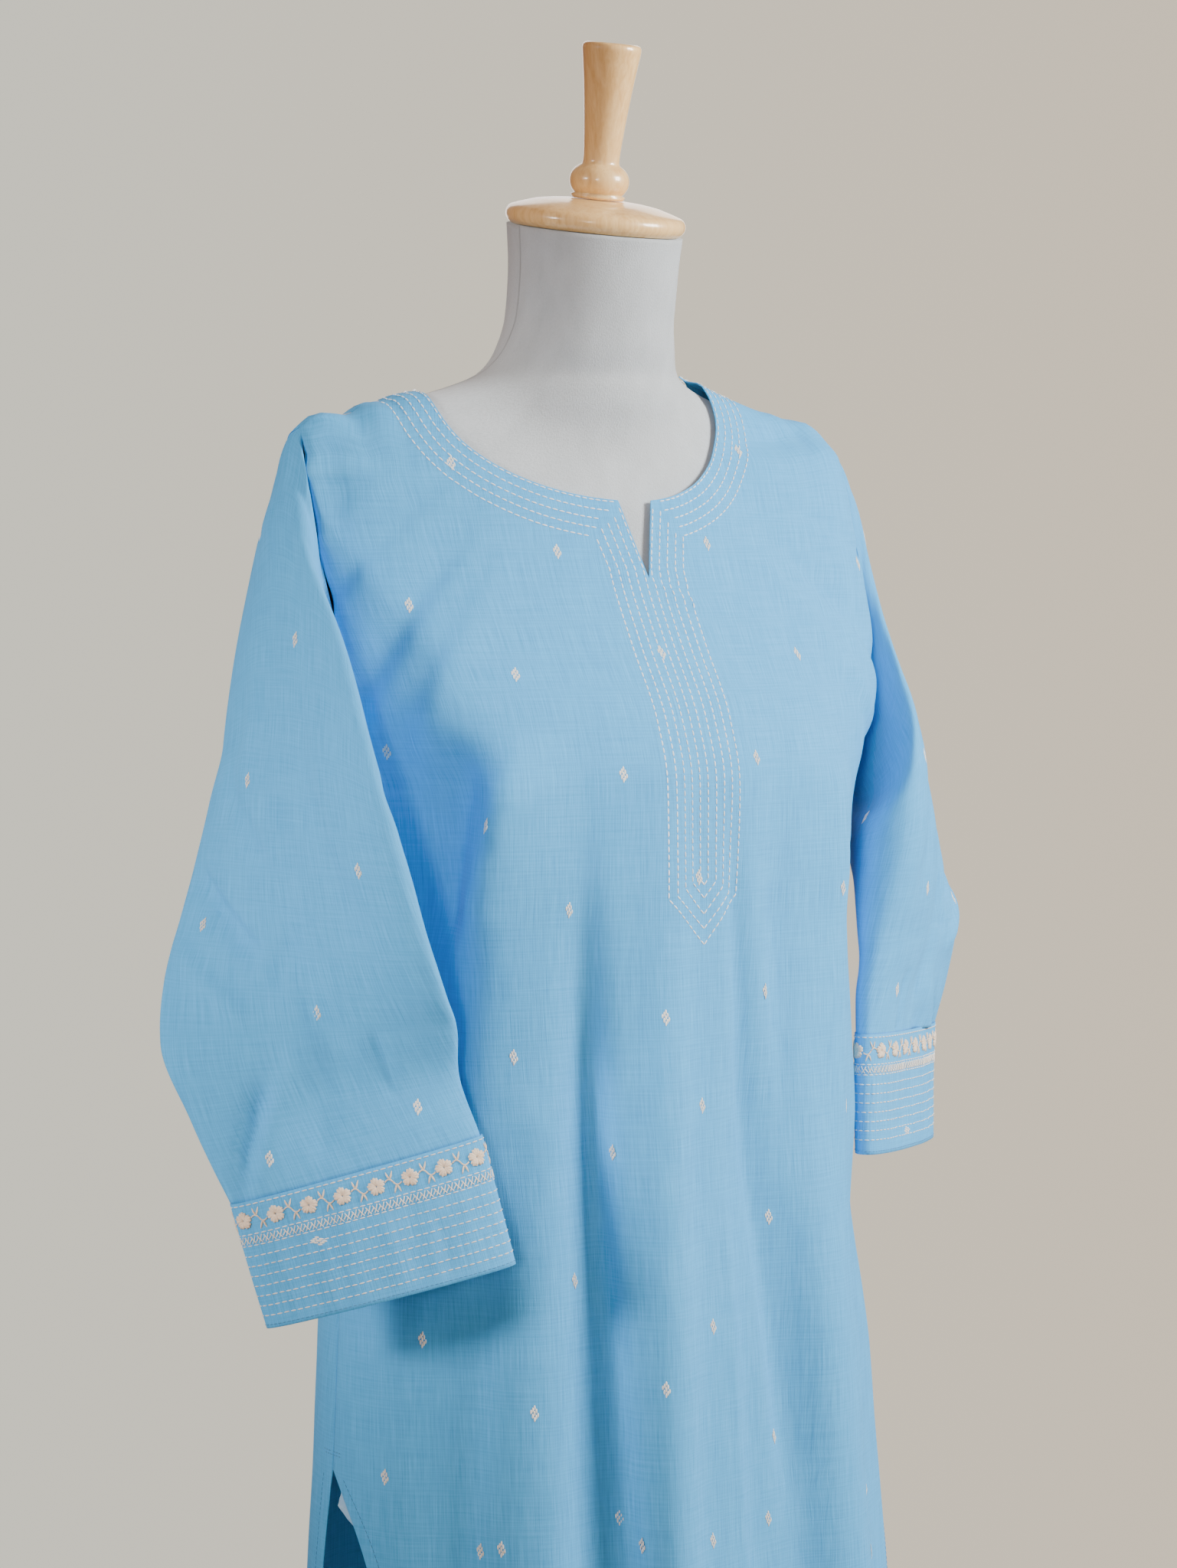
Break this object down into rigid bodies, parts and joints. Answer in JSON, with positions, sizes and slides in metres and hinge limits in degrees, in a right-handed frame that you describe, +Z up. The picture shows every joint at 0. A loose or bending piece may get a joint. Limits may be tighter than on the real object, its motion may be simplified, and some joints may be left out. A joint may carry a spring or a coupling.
{
  "type": "straight kurta on a dress form",
  "caption": "Straight kurta with a round slit neck, three-quarter sleeves with bordered cuffs and side slits, on a limbless dress form with a turned wooden cap, pole and round base.",
  "frame": {"origin": "on the floor, under the middle of the whole bounding box", "axes": "+Z up; the kurta faces -Y and its wearer's right side is at -X"},
  "size_m": [0.6342, 0.38, 1.6274],
  "materials": {
    "chambray": "matte light-blue cotton chambray with fine vertical slubs",
    "lace": "pale-blue cotton lace",
    "jersey": "light grey-blue jersey stretched over the form",
    "honey_wood": "turned pale wood under clear varnish"
  },
  "bodies": {
    "root": {"kurta_front": "chambray", "kurta_back": "chambray", "sleeve_right": "chambray", "sleeve_left": "chambray", "cuff_right": "chambray", "cuff_left": "chambray", "slit_tab": "lace", "dress_form": "jersey", "neck_cap": "honey_wood", "finial": "honey_wood", "stand_pole": "honey_wood", "stand_base": "honey_wood"}
  },
  "joints": []
}
